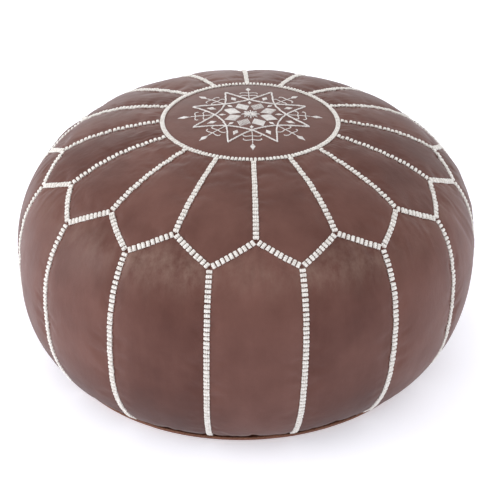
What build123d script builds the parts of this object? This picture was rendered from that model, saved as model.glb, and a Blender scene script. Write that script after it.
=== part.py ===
from build123d import *
import math
import os

# A round stuffed floor pouf sewn from leather panels. Millimetres, +Z up, the floor at Z = 0,
# the axis of the pouf on Z. The zip under the pouf runs along X and the front faces -Y.

# ---- Overall sizes ----
DIAMETER = 550.0            # across the widest place
HEIGHT = 300.0              # floor to the top of the dome
PANELS = 16                 # panels in the upper round and in the side round

# ---- Skin outline: shares of the half diameter and of the height, from shoulder to hem ----
SKIN_OUTLINE = [(0.395, 0.966), (0.695, 0.895), (0.893, 0.765), (0.980, 0.600),
                (1.000, 0.420), (0.968, 0.200), (0.894, 0.068)]
LIP_SHARE = 0.855           # half width of the lower lip of the side panels, share of the half diameter
LIP_HEIGHT = 7.0            # lower lip above the floor
LIP_SLOPE = 50.0            # degrees, how steeply the skin turns in at the lip
OUTLINE_STEPS = 20          # points that carry an inner or outer skin

# ---- Leather and lining ----
LEATHER = 1.5               # thickness of the dyed panels
BASE_LEATHER = 1.8          # thickness of the base
LINER = 1.0                 # thickness of the cotton bag
LAYER_GAP = 0.4             # air between leather and bag, and between bag and stuffing
ZIP_ROOM = 1.6              # air between the zip slider and the bag

# ---- Seams, lengths measured along the skin ----
MEDALLION_REACH = 103.0     # centre of the dome to the ring seam
UPPER_SEAM = 121.0          # ring seam to the upper points of the zigzag
ZIGZAG_DROP = 34.0          # upper points to lower points of the zigzag
SEAM_WIDTH = 6.0            # width of a row of seam stitches
THREAD_RISE = 1.2           # how far the seam stitches stand above the leather
SEAM_BREAK = 1.0            # gap between rows of stitches where seams meet

# ---- Embroidery on the medallion, drawn at this size and then scaled to keep its margin ----
EMBROIDERY_MARGIN = 14.5    # ring stitches to the arrow tips
STAR_TIP = 72.5             # radius of the star's tips
STAR_NOTCH = 41.5           # radius of the notches between the tips
STAR_THREAD = 2.0           # width of the star's line
ARROW_HEAD = 85.0           # radius of the arrow tips
ARROW_THREAD = 1.4          # width of the arrow lines
ARROW_BARS = (54.5, 64.0)   # radii of the two bars across each arrow
BAR_HALF = 10.5             # half length of a bar
HEAD_LENGTH, HEAD_HALF = 14.0, 2.9
PETAL_START, PETAL_END, PETAL_HALF = 13.0, 32.0, 7.5
ROSETTE = 10.0              # radius of the centre
EMBROIDERY_RISE = 0.8

# ---- Base ----
RIM_STEP = 1.2              # how far the base rim sits inside the lip
RIM_ROUND = 6.0             # outer radius of the base's edge
FOOT_WIDTH = 24.0           # flat ring that stands on the floor, with its rounded edge
RECESS_RUN = 30.0           # width of the slope from the foot ring up to the zip
RECESS_DEPTH = 9.0          # underside of the zip area above the floor
RECESS_ROUND = 30.0         # radius of the two bends of the slope
BASE_THREAD = 1.0           # section of the thread at the base seam

# ---- Zip ----
ZIP_END_MARGIN = 14.0       # recess edge to the end of the tapes
TAPE_TAIL = 12.0            # tape past each end of the opening
TAPE_WIDTH = 15.0
TAPE = 0.7                  # thickness
TAPE_EDGE = 0.9             # half gap between the tapes
SLOT_HALF = 6.0             # half width of the opening in the leather
COIL_GAP = 0.7              # half gap between the two coils
COIL_WIDTH = 2.2
COIL_HEIGHT = 1.6
ZIP_PLAY = 0.3              # clearance of the slider on coils and tapes
SLIDER_LENGTH = 11.0
SLIDER_PLATE = 1.0
FLANGE = 0.8                # thickness of the slider's side flanges
POST_HALF = 0.4             # half width of the post between the plates
POST_LENGTH = 3.5
LUG_RADIUS, LUG_WIDTH = 1.35, 2.0
PIVOT_DROP = 1.6            # slider's outer plate down to the pull's axis
BAR_RADIUS = 0.8            # round bar of the pull that turns in the lug
BAR_CLEARANCE = 0.05
PULL_LENGTH = 26.0          # pivot to tip
PULL_WIDTH = 7.0
PULL = 1.4                  # thickness
PULL_NECK = 5.0             # pivot to the start of the solid tab
PULL_SIDE_GAP = 0.3         # lug to each arm of the pull
PULL_FLOOR_GAP = 0.4        # tip of the hanging pull above the floor
PULL_ROUND = 2.5
STOP_LENGTH = 3.0
STOP_WALL = 0.3
ZIP_STITCH_OFFSET = 2.5     # slot edge to the line of stitches
ZIP_STITCH = 0.8            # width of the line of stitches
ZIP_STITCH_RISE = 0.4

# ---- Worked out ----
HALF = DIAMETER / 2
STEP = 360 / PANELS         # angle from one seam to the next
UPPER_POINT = MEDALLION_REACH + UPPER_SEAM      # centre of the dome to the zigzag's upper points
LOWER_POINT = UPPER_POINT + ZIGZAG_DROP         # centre of the dome to its lower points
FRONT = -90                 # angle of the front, from +X
LIP_RADIUS = LIP_SHARE * HALF
RIM_RADIUS = LIP_RADIUS - RIM_STEP
FOOT_INNER = RIM_RADIUS - FOOT_WIDTH
RECESS_RADIUS = FOOT_INNER - RECESS_RUN
TAPE_HALF = RECESS_RADIUS - ZIP_END_MARGIN
ZIP_HALF = TAPE_HALF - TAPE_TAIL
TAPE_BOTTOM = RECESS_DEPTH + BASE_LEATHER
TAPE_TOP = TAPE_BOTTOM + TAPE
COIL_BOTTOM = TAPE_BOTTOM - COIL_HEIGHT
COIL_HALF = ZIP_HALF - STOP_LENGTH
INNER_PLATE_BOTTOM = TAPE_TOP + ZIP_PLAY
OUTER_PLATE_TOP = COIL_BOTTOM - ZIP_PLAY
OUTER_PLATE_BOTTOM = OUTER_PLATE_TOP - SLIDER_PLATE
FLANGE_INSIDE = COIL_GAP + COIL_WIDTH + ZIP_PLAY
SLIDER_HALF = FLANGE_INSIDE + FLANGE
SLIDER_X = COIL_HALF - SLIDER_LENGTH / 2 - ZIP_PLAY
PIVOT_Z = OUTER_PLATE_BOTTOM - PIVOT_DROP
LINER_FLOOR = INNER_PLATE_BOTTOM + SLIDER_PLATE + ZIP_ROOM
LINER_DEPTH = LEATHER + LAYER_GAP
STUFFING_DEPTH = LINER_DEPTH + LINER + LAYER_GAP
LARGE = 2 * DIAMETER

SKIN = Spline(
    [(0, 0, HEIGHT)]
    + [(r * HALF, 0, z * HEIGHT) for r, z in SKIN_OUTLINE]
    + [(LIP_RADIUS, 0, LIP_HEIGHT)],
    tangents=[(1, 0, 0), (-math.cos(math.radians(LIP_SLOPE)), 0, -math.sin(math.radians(LIP_SLOPE)))],
)


def skin_point(length):
    """Place, downward direction and outward direction of the skin at a length from the dome's centre."""
    share = length / SKIN.length
    down = SKIN.tangent_at(share)
    return SKIN.position_at(share), down, Vector(-down.Z, 0, down.X)


RING_RADIUS = skin_point(MEDALLION_REACH)[0].X


def inside(depth):
    """Solid of everything deeper than depth under the skin, flat at the lip."""
    points = []
    for i in range(OUTLINE_STEPS):
        place, down, out = skin_point(SKIN.length * i / OUTLINE_STEPS)
        points.append(place - out * depth)
    lip, down, out = skin_point(SKIN.length)
    points.append(lip - Vector(depth / out.X, 0, 0))
    side = Spline(points, tangents=[SKIN.tangent_at(0), SKIN.tangent_at(1)])
    floor = Line(side @ 1, (0, 0, LIP_HEIGHT))
    axis = Line((0, 0, LIP_HEIGHT), side @ 0)
    return revolve(make_face([side, floor, axis]), Axis.Z)


def layer(outer, inner):
    """Skin between two depths."""
    return inside(outer) - inside(inner)


def above(solid, plane):
    return split(solid, plane, keep=Keep.TOP)


def below(solid, plane):
    return split(solid, plane, keep=Keep.BOTTOM)


def upright(angle, shift=0.0):
    """Plane through the axis at an angle from +X, moved sideways; its top looks to larger angles."""
    a = math.radians(angle)
    side = Vector(-math.sin(a), math.cos(a), 0)
    return Plane(origin=side * shift, z_dir=side)


def sector(solid, start, end):
    """The part of a solid of revolution between two angles less than half a turn apart."""
    return below(above(solid, upright(start)), upright(end))


def strip(solid, angle, width):
    """The part of a solid of revolution in a straight strip along one radius."""
    half = sector(solid, angle - STEP / 2, angle + STEP / 2)
    return below(above(half, upright(angle, -width / 2)), upright(angle, width / 2))


def across(length):
    """Plane across the skin along +X, its top looking down the skin."""
    place, down, out = skin_point(length)
    return Plane(origin=place, z_dir=down)


def turned(point, angle):
    return point.rotate(Axis.Z, angle)


def zigzag(start, end, shift=0.0):
    """Plane of the zigzag seam from an upper point at the start angle to a lower point at the end angle.
    It stands square on the skin, and its top looks down the skin."""
    upper = turned(skin_point(UPPER_POINT)[0], start)
    lower = turned(skin_point(LOWER_POINT)[0], end)
    out = skin_point((UPPER_POINT + LOWER_POINT) / 2)[2]
    normal = (lower - upper).cross(turned(out, (start + end) / 2)).normalized()
    if normal.Z > 0:
        normal = -normal
    return Plane(origin=upper + normal * shift, z_dir=normal)


def around(solid, count=PANELS, start=0.0):
    """Copies of a solid at each seam angle."""
    return [Rot(0, 0, FRONT + start + i * 360 / count) * solid for i in range(count)]


def cylinder_inside(radius):
    return Cylinder(radius, LARGE)


def medallion():
    return layer(0, LEATHER) & cylinder_inside(RING_RADIUS)


def upper_panel():
    """Petal between two radial seams, from the ring seam to a V at its lower end."""
    petal = sector(layer(0, LEATHER) - cylinder_inside(RING_RADIUS), 0, STEP)
    return below(below(petal, zigzag(0, STEP / 2)), zigzag(STEP, STEP / 2))


def side_panel():
    """Side panel with a pointed top, from the zigzag seam to the lip."""
    panel = sector(layer(0, LEATHER), -STEP / 2, STEP / 2)
    return above(above(panel, zigzag(0, STEP / 2)), zigzag(0, -STEP / 2))


def ring_stitches():
    thread = layer(-THREAD_RISE, 0) & cylinder_inside(RING_RADIUS + SEAM_WIDTH / 2)
    return thread - cylinder_inside(RING_RADIUS - SEAM_WIDTH / 2)


def zigzag_reach():
    """How far a zigzag row reaches past its own points, along the skin."""
    run = skin_point(UPPER_POINT)[0].X * math.radians(STEP / 2)
    return SEAM_WIDTH / 2 * math.hypot(run, ZIGZAG_DROP) / run + SEAM_BREAK


def upper_stitches():
    thread = strip(layer(-THREAD_RISE, 0), 0, SEAM_WIDTH)
    thread = thread - cylinder_inside(RING_RADIUS + SEAM_WIDTH / 2 + SEAM_BREAK)
    return below(thread, across(UPPER_POINT - zigzag_reach()))


def side_stitches():
    thread = strip(layer(-THREAD_RISE, 0), 0, SEAM_WIDTH)
    return above(thread, across(LOWER_POINT + zigzag_reach()))


def zigzag_stitches(angle):
    thread = sector(layer(-THREAD_RISE, 0), min(0, angle), max(0, angle))
    return below(above(thread, zigzag(0, angle, -SEAM_WIDTH / 2)), zigzag(0, angle, SEAM_WIDTH / 2))


def bar(start, end, width):
    """Flat bar between two points of the embroidery."""
    start, end = Vector(*start), Vector(*end)
    middle, run = (start + end) / 2, end - start
    turn = math.degrees(math.atan2(run.Y, run.X))
    return Pos(middle.X, middle.Y) * Rot(0, 0, turn) * Rectangle(run.length + width, width)


def polar(radius, angle):
    return radius * math.cos(math.radians(angle)), radius * math.sin(math.radians(angle))


def embroidery():
    """Star, arrows, rhombi and rosette, as raised thread that follows the dome."""
    turn = 360 / 8
    star = bar(polar(STAR_NOTCH, 0), polar(STAR_TIP, turn / 2), STAR_THREAD)
    star += bar(polar(STAR_NOTCH, turn), polar(STAR_TIP, turn / 2), STAR_THREAD)
    star += bar(polar(STAR_NOTCH, 0), polar(STAR_NOTCH, turn), STAR_THREAD)
    arrow = bar((STAR_NOTCH, 0), (ARROW_HEAD - HEAD_LENGTH, 0), ARROW_THREAD)
    for radius in ARROW_BARS:
        arrow += bar((radius, -BAR_HALF), (radius, BAR_HALF), ARROW_THREAD)
    arrow += make_face(Polyline(
        (ARROW_HEAD - HEAD_LENGTH, 0), (ARROW_HEAD - HEAD_LENGTH / 2, HEAD_HALF), (ARROW_HEAD, 0),
        (ARROW_HEAD - HEAD_LENGTH / 2, -HEAD_HALF), (ARROW_HEAD - HEAD_LENGTH, 0)))
    centre = (PETAL_START + PETAL_END) / 2
    petal = Rot(0, 0, turn / 2) * make_face(Polyline(
        (PETAL_START, 0), (centre, PETAL_HALF), (PETAL_END, 0), (centre, -PETAL_HALF), (PETAL_START, 0)))
    pattern = Circle(ROSETTE)
    for i in range(8):
        pattern += Rot(0, 0, i * turn) * (star + arrow)
        pattern += Rot(0, 0, i * turn) * petal
    reach = RING_RADIUS - SEAM_WIDTH / 2 - EMBROIDERY_MARGIN
    pattern = Rot(0, 0, FRONT) * scale(pattern, by=reach / ARROW_HEAD)
    return extrude(pattern, HEIGHT * 2) & layer(-EMBROIDERY_RISE, 0)


def base_line(lift, shrink):
    """Half outline of the base, from its rim inward, lifted and drawn in by the wall."""
    rim, corner = RIM_RADIUS - shrink, RIM_ROUND - shrink
    return FilletPolyline(
        (rim, 0, LIP_HEIGHT), (rim, 0, lift), (FOOT_INNER, 0, lift),
        (RECESS_RADIUS, 0, RECESS_DEPTH + lift), (0, 0, RECESS_DEPTH + lift),
        radius=[corner, RECESS_ROUND, RECESS_ROUND])


def base_solid(low, high):
    """Solid of revolution between two base lines."""
    rim = Line(low @ 0, high @ 0)
    axis = Line(low @ 1, high @ 1)
    return revolve(make_face([low, rim, high, axis]), Axis.Z)


def base_panel(side):
    """Half of the base, with half of the opening for the zip. Side is -1 in front and 1 behind."""
    base = base_solid(base_line(0, 0), base_line(BASE_LEATHER, BASE_LEATHER))
    base = base - Box(2 * ZIP_HALF, 2 * SLOT_HALF, LARGE)
    return above(base, Plane(origin=(0, 0, 0), z_dir=(0, side, 0)))


def base_seam_thread():
    section = Pos(RIM_RADIUS + BASE_THREAD / 2, 0, LIP_HEIGHT - BASE_THREAD / 2) * Rot(90, 0, 0)
    return revolve(section * Rectangle(BASE_THREAD, BASE_THREAD), Axis.Z)


def base_join_stitches():
    """Raised line along the two short seams between the zip and the foot ring."""
    line = base_solid(Pos(0, 0, -ZIP_STITCH_RISE) * base_line(0, 0), base_line(0, 0))
    line = line & cylinder_inside(FOOT_INNER - ZIP_STITCH_OFFSET * 2)
    line = line & Box(LARGE, ZIP_STITCH, LARGE)
    start = ZIP_HALF + ZIP_STITCH_OFFSET + ZIP_STITCH
    return line - Box(2 * start, LARGE, LARGE)


def block(x0, x1, y0, y1, z0, z1):
    """Box between two corners."""
    return Pos((x0 + x1) / 2, (y0 + y1) / 2, (z0 + z1) / 2) * Box(x1 - x0, y1 - y0, z1 - z0)


def mirrored(solid, side):
    """The solid as drawn for y > 0, or its mirror image in front."""
    return solid if side > 0 else mirror(solid, Plane.XZ)


def zip_tape(side):
    tape = block(-TAPE_HALF, TAPE_HALF, TAPE_EDGE, TAPE_EDGE + TAPE_WIDTH, TAPE_BOTTOM, TAPE_TOP)
    return mirrored(tape, side)


def zip_coil(side):
    coil = block(-COIL_HALF, COIL_HALF, COIL_GAP, COIL_GAP + COIL_WIDTH, COIL_BOTTOM, TAPE_BOTTOM)
    return mirrored(coil, side)


def zip_stitches():
    """Rectangle of stitches about the opening, on the underside of the base."""
    x, y = ZIP_HALF + ZIP_STITCH_OFFSET, SLOT_HALF + ZIP_STITCH_OFFSET
    outer = block(-x, x, -y, y, RECESS_DEPTH - ZIP_STITCH_RISE, RECESS_DEPTH)
    x, y = x - ZIP_STITCH, y - ZIP_STITCH
    return outer - block(-x, x, -y, y, 0, TAPE_TOP)


def stop_clip(x0, y0):
    """Metal clip round the edge of a tape, from y0 outward, next to the end of the coil."""
    width = COIL_GAP + COIL_WIDTH
    clip = block(x0, x0 + STOP_LENGTH, y0, width, COIL_BOTTOM, TAPE_TOP + STOP_WALL)
    return clip - block(-TAPE_HALF, TAPE_HALF, TAPE_EDGE, TAPE_WIDTH, TAPE_BOTTOM, TAPE_TOP)


def top_stops():
    clip = stop_clip(COIL_HALF, COIL_GAP)
    return Compound([clip, mirrored(clip, -1)])


def bottom_stop():
    clip = stop_clip(-COIL_HALF - STOP_LENGTH, 0)
    return clip + mirrored(clip, -1)


def zip_slider():
    """Two plates joined by a post, flanges round the coils and a lug for the pull."""
    x0, x1 = SLIDER_X - SLIDER_LENGTH / 2, SLIDER_X + SLIDER_LENGTH / 2
    plate = fillet(Rectangle(SLIDER_LENGTH, 2 * SLIDER_HALF).vertices(), SLIDER_HALF / 2)
    inner = Pos(SLIDER_X, 0, INNER_PLATE_BOTTOM) * extrude(plate, SLIDER_PLATE)
    outer = Pos(SLIDER_X, 0, OUTER_PLATE_BOTTOM) * extrude(plate, SLIDER_PLATE)
    post = block(x1 - POST_LENGTH, x1 - SLIDER_PLATE, -POST_HALF, POST_HALF,
                 OUTER_PLATE_TOP, INNER_PLATE_BOTTOM)
    flange = block(x0 + SLIDER_HALF / 2, x1 - SLIDER_HALF / 2, FLANGE_INSIDE, SLIDER_HALF,
                   OUTER_PLATE_TOP, TAPE_BOTTOM - ZIP_PLAY)
    lug = Pos(SLIDER_X, 0, PIVOT_Z) * Rot(90, 0, 0) * Cylinder(LUG_RADIUS, LUG_WIDTH)
    lug += block(SLIDER_X - LUG_RADIUS, SLIDER_X + LUG_RADIUS, -LUG_WIDTH / 2, LUG_WIDTH / 2,
                 PIVOT_Z, OUTER_PLATE_BOTTOM)
    hole = Pos(SLIDER_X, 0, PIVOT_Z) * Rot(90, 0, 0) * Cylinder(BAR_RADIUS + BAR_CLEARANCE, LARGE)
    return inner + outer + post + flange + mirrored(flange, -1) + (lug - hole)


def pull_hang():
    """Angle that the pull hangs below level, with its tip just clear of the floor."""
    return math.degrees(math.asin((PIVOT_Z - PULL / 2 - PULL_FLOOR_GAP) / PULL_LENGTH))


def zip_pull():
    """Tab with two arms and a round bar through the slider's lug."""
    arm_inside = LUG_WIDTH / 2 + PULL_SIDE_GAP
    tab = Pos((PULL_LENGTH + PULL_NECK) / 2, 0) * Rectangle(PULL_LENGTH - PULL_NECK, PULL_WIDTH)
    tab = fillet(tab.vertices().group_by(Axis.X)[-1], PULL_ROUND)
    frame = Pos(PULL_NECK / 2, 0) * Rectangle(PULL_NECK, PULL_WIDTH - PULL)
    frame -= Pos(PULL_NECK / 2 - PULL, 0) * Rectangle(PULL_NECK, 2 * arm_inside)
    pull = Pos(0, 0, -PULL / 2) * extrude(tab + frame, PULL)
    pull += Rot(90, 0, 0) * Cylinder(BAR_RADIUS, PULL_WIDTH - PULL)
    return Pos(SLIDER_X, 0, PIVOT_Z) * Rot(0, pull_hang(), 0) * pull


def liner_bag():
    outer = above(inside(LINER_DEPTH), Plane.XY.offset(LINER_FLOOR))
    return outer - above(inside(LINER_DEPTH + LINER), Plane.XY.offset(LINER_FLOOR + LINER))


def stuffing():
    return above(inside(STUFFING_DEPTH), Plane.XY.offset(LINER_FLOOR + LINER + LAYER_GAP))


def build():
    """Every piece, by name."""
    pieces = {"medallion": medallion(), "medallion_embroidery": embroidery()}
    for i, panel in enumerate(around(upper_panel()), 1):
        pieces[f"upper_panel_{i:02d}"] = panel
    for i, panel in enumerate(around(side_panel()), 1):
        pieces[f"side_panel_{i:02d}"] = panel
    zigzags = around(zigzag_stitches(STEP / 2)) + around(zigzag_stitches(-STEP / 2))
    pieces["ring_stitching"] = ring_stitches()
    pieces["upper_seam_stitching"] = Compound(around(upper_stitches()))
    pieces["zigzag_stitching"] = Compound(zigzags)
    pieces["side_seam_stitching"] = Compound(around(side_stitches(), start=STEP / 2))
    for name, side in (("front", -1), ("back", 1)):
        pieces[f"base_panel_{name}"] = base_panel(side)
        pieces[f"zip_tape_{name}"] = zip_tape(side)
        pieces[f"zip_coil_{name}"] = zip_coil(side)
    pieces["base_seam_thread"] = base_seam_thread()
    pieces["base_join_stitching"] = base_join_stitches()
    pieces["zip_stitching"] = zip_stitches()
    pieces["zip_top_stops"] = top_stops()
    pieces["zip_bottom_stop"] = bottom_stop()
    pieces["zip_slider"] = zip_slider()
    pieces["zip_pull"] = zip_pull()
    pieces["liner_bag"] = liner_bag()
    pieces["stuffing"] = stuffing()
    return pieces


os.makedirs("parts", exist_ok=True)
for name, piece in build().items():
    export_step(piece, f"parts/{name}.step")
print(f"slider rests at x {SLIDER_X:.3f}, travels {2 * COIL_HALF - SLIDER_LENGTH - 2 * ZIP_PLAY:.2f}")
print(f"pull turns about x {SLIDER_X:.3f}, z {PIVOT_Z:.3f}, hangs {pull_hang():.2f} degrees")
print(f"foot ring from {FOOT_INNER:.1f} to {RIM_RADIUS - RIM_ROUND:.1f}, ring seam at {RING_RADIUS:.2f}")
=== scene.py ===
import math

import bpy
import numpy as np
from mathutils import Matrix, Vector


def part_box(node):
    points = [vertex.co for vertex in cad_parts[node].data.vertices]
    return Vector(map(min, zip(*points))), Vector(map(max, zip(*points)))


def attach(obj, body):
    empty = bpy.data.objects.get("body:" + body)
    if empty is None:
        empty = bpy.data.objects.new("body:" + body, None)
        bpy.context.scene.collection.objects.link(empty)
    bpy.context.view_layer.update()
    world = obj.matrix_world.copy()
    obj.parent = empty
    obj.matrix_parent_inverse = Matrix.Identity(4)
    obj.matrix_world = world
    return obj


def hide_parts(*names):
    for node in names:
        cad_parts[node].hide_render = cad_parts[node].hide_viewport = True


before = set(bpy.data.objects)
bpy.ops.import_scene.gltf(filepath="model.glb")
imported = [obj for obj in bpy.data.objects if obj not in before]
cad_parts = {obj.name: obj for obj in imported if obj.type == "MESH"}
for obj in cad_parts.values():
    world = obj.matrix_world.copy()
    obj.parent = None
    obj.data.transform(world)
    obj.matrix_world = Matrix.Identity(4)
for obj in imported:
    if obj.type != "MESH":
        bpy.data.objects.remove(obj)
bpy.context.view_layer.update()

# ---------------------------------------------------------------------------------------------
# Camera. The pouf is seen from the front and from above, as by someone standing near it,
# through a long lens, with its front seam turned very slightly to the right.
# ---------------------------------------------------------------------------------------------
EYE_TURN = -1.32                # degrees round the pouf from straight in front
EYE_RISE = 29.64                # degrees above level
EYE_DISTANCE = 1.522
EYE_ROLL = -1.04                # degrees
LENS = 90.8
LOOK_AT = (0.0022, 0.0, 0.1291)
LOOK_LOW = 0.0078               # the middle of the view is this far below the place looked at


def camera_at(turn, rise, distance, look_at, look_low, roll, lens):
    """Camera on a sphere round look_at, turned about its own line of sight by roll."""
    a, e = math.radians(turn - 90), math.radians(rise)
    back = Vector((math.cos(a) * math.cos(e), math.sin(a) * math.cos(e), math.sin(e)))
    right = Vector((-math.sin(a), math.cos(a), 0))
    up = back.cross(right)
    eye = Vector(look_at) + back * distance
    line = (Vector(look_at) - up * look_low - eye).normalized()
    right = line.cross(Vector((0, 0, 1))).normalized()
    up = right.cross(line)
    turn_in_view = Matrix.Rotation(math.radians(roll), 4, "Z")
    place = Matrix((right, up, -line)).transposed().to_4x4()
    data = bpy.data.cameras.new("camera")
    data.lens = lens
    data.sensor_width = 36
    data.clip_start, data.clip_end = 0.05, 50
    camera = bpy.data.objects.new("camera", data)
    camera.matrix_world = Matrix.Translation(eye) @ place @ turn_in_view
    bpy.context.scene.collection.objects.link(camera)
    bpy.context.scene.camera = camera


camera_at(EYE_TURN, EYE_RISE, EYE_DISTANCE, LOOK_AT, LOOK_LOW, EYE_ROLL, LENS)

# ---------------------------------------------------------------------------------------------
# Studio. A white floor that runs off into a white background, and four broad soft lights, so that
# the leather has soft, wide highlights: the strongest at the left, then behind, right and overhead.
# ---------------------------------------------------------------------------------------------
FLOOR_SIZE = 30.0


def node_material(name):
    """A new material with an empty node tree, its Principled shader and its output."""
    material = bpy.data.materials.new(name)
    material.use_nodes = True
    tree = material.node_tree
    tree.nodes.clear()
    shader = tree.nodes.new("ShaderNodeBsdfPrincipled")
    output = tree.nodes.new("ShaderNodeOutputMaterial")
    tree.links.new(shader.outputs["BSDF"], output.inputs["Surface"])
    return material, tree, shader


def soft_light(name, place, aim, size, power):
    """Square area light at place, turned towards aim."""
    data = bpy.data.lights.new(name, "AREA")
    data.shape, data.size, data.energy = "SQUARE", size, power
    light = bpy.data.objects.new(name, data)
    light.location = place
    line = Vector(aim) - Vector(place)
    light.rotation_euler = line.to_track_quat("-Z", "Y").to_euler()
    bpy.context.scene.collection.objects.link(light)


floor_mesh = bpy.data.meshes.new("floor")
half = FLOOR_SIZE / 2
floor_mesh.from_pydata([(-half, -half, 0), (half, -half, 0), (half, half, 0), (-half, half, 0)],
                       [], [(0, 1, 2, 3)])
floor = bpy.data.objects.new("floor", floor_mesh)
bpy.context.scene.collection.objects.link(floor)
floor_material, _, floor_shader = node_material("pale_floor")
floor_shader.inputs["Base Color"].default_value = (0.89, 0.89, 0.94, 1)
floor_shader.inputs["Roughness"].default_value = 0.9
floor_shader.inputs["Specular IOR Level"].default_value = 0.1
floor_shader.inputs["Emission Color"].default_value = (0.93, 0.94, 1.0, 1)
floor_shader.inputs["Emission Strength"].default_value = 0.39
floor_mesh.materials.append(floor_material)

world = bpy.data.worlds.new("studio")
bpy.context.scene.world = world
world.use_nodes = True
world.node_tree.nodes["Background"].inputs["Color"].default_value = (0.985, 0.99, 1.0, 1)
world.node_tree.nodes["Background"].inputs["Strength"].default_value = 0.97
soft_light("overhead", (-0.5, -0.4, 2.3), (0, 0, 0.15), 1.8, 2)
soft_light("left", (-2.4, -0.3, 1.0), (0, 0, 0.15), 1.4, 25)
soft_light("right", (2.2, 1.2, 1.4), (0, 0, 0.15), 1.4, 5)
soft_light("back", (-0.4, 2.8, 1.0), (0, 0, 0.2), 1.8, 8)
bpy.context.scene.view_settings.view_transform = "Standard"
bpy.context.scene.view_settings.look = "None"

# ---------------------------------------------------------------------------------------------
# Outline of the filled cover. The half section runs from the centre of the dome, over the
# shoulder and down the side to the lip above the base. Every leather piece is a part of it.
# ---------------------------------------------------------------------------------------------
side_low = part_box("side_panel_01")[0]
medallion_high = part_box("medallion")[1]
HALF_WIDTH = -side_low.y
HEIGHT = medallion_high.z
RING_RADIUS = medallion_high.x
LIP_HEIGHT = side_low.z
OUTLINE = np.array([(0.395, 0.966), (0.695, 0.895), (0.893, 0.765), (0.980, 0.600),
                    (1.000, 0.420), (0.968, 0.200), (0.894, 0.068)])
LIP_SHARE = 0.855
LIP_SLOPE = math.radians(50)
PANELS = 16
UPPER_SEAM, ZIGZAG_DROP = 0.121, 0.034


def clamped_spline(points, start, end, count):
    """Smooth curve through points, with given end directions: each stretch is a cubic, and the
    cubics share slope and bend where they meet. Returns count points along it."""
    t = np.r_[0, np.cumsum(np.linalg.norm(np.diff(points, axis=0), axis=1))]
    h = np.diff(t)[:, None]
    rise = np.diff(points, axis=0) / h
    n = len(points)
    system, right = np.zeros((n, n)), np.zeros((n, 2))
    system[0, 0] = system[-1, -1] = 1
    right[0], right[-1] = start, end
    for i in range(1, n - 1):
        system[i, i - 1:i + 2] = h[i, 0], 2 * (h[i - 1, 0] + h[i, 0]), h[i - 1, 0]
        right[i] = 3 * (h[i] * rise[i - 1] + h[i - 1] * rise[i])
    slope = np.linalg.solve(system, right)
    s = np.linspace(0, t[-1], count)
    k = np.clip(np.searchsorted(t, s, side="right") - 1, 0, n - 2)
    u = ((s - t[k]) / h[k, 0])[:, None]
    return ((1 + 2 * u) * (1 - u) ** 2 * points[k] + u * (1 - u) ** 2 * h[k] * slope[k]
            + u * u * (3 - 2 * u) * points[k + 1] - u * u * (1 - u) * h[k] * slope[k + 1])


section = clamped_spline(
    np.r_[[(0, HEIGHT)], OUTLINE * (HALF_WIDTH, HEIGHT), [(LIP_SHARE * HALF_WIDTH, LIP_HEIGHT)]],
    (1, 0), (-math.cos(LIP_SLOPE), -math.sin(LIP_SLOPE)), 2000)
section_length = np.r_[0, np.cumsum(np.linalg.norm(np.diff(section, axis=0), axis=1))]
SKIN_LENGTH = section_length[-1]
dome = section[:, 1] > 0.9 * HEIGHT
RING = float(np.interp(RING_RADIUS, section[dome, 0], section_length[dome]))
UPPER_POINT = RING + UPPER_SEAM
LOWER_POINT = UPPER_POINT + ZIGZAG_DROP
section_down = np.gradient(section, section_length, axis=0)
section_out = np.stack([-section_down[:, 1], section_down[:, 0]], 1)


def skin(angle, length, raised):
    """Point of the cover: the section at a length from the dome's centre, raised along its outward
    direction, turned about Z by an angle from the front."""
    r = np.interp(length, section_length, section[:, 0])
    z = np.interp(length, section_length, section[:, 1])
    r = r + raised * np.interp(length, section_length, section_out[:, 0])
    z = z + raised * np.interp(length, section_length, section_out[:, 1])
    return np.stack(np.broadcast_arrays(r * np.sin(angle), -r * np.cos(angle), z), -1)


LEAN = np.array([0.0038, 0.0077])      # how far the top leans to the right: a steady and a bent part
TILT = (-0.0071, 0.0059)               # how much the rim of the top sinks on the right and lifts behind
SADDLE = 0.0052                        # how much front and back rise above left and right
TOP_SAG, SEAT_SAG, SEAT = 0.0024, 0.0026, 0.075    # sinking of the top, of its sat-on middle, its reach


def settled(points):
    """The cover as its stuffing settled: it leans and tilts a little, more towards the top."""
    x, y, z = points[..., 0], points[..., 1], points[..., 2]
    w = np.clip(z / HEIGHT, 0, 1.1)
    round_share = (x * x + y * y) / HALF_WIDTH ** 2
    turn = np.arctan2(x, -y)
    lift = (TILT[0] * x + TILT[1] * y) / HALF_WIDTH + SADDLE * round_share * np.cos(2 * turn)
    lift = lift - w ** 3 * (TOP_SAG + SEAT_SAG * np.exp(-(x * x + y * y) / SEAT ** 2))
    return np.stack([x + LEAN[0] * w + LEAN[1] * w * w, y, z + lift * w], -1)


# ---------------------------------------------------------------------------------------------
# Leather cover: sixteen petals between the medallion and the zigzag seam and sixteen side panels
# below it, of dyed goatskin. The seams pull the skin in and the stuffing pushes it out between.
# ---------------------------------------------------------------------------------------------
COLUMNS = 22                    # grid columns across one panel
UPPER_ROWS, SIDE_ROWS = 26, 50
PUFF = 0.0006                   # how far a panel's middle stands above the outline
SEAM_SINK = 0.0014              # how far a seam lies below it
PUFF_REACH = 0.009              # distance over which the skin rises from a seam
BELLY = 0.0017                  # how far the stuffing may push the skin out beyond that
ZIGZAG_RADIUS = 0.23            # radius at the zigzag, from which the slant of its legs is worked out
LEATHER = 0.0015

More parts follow.
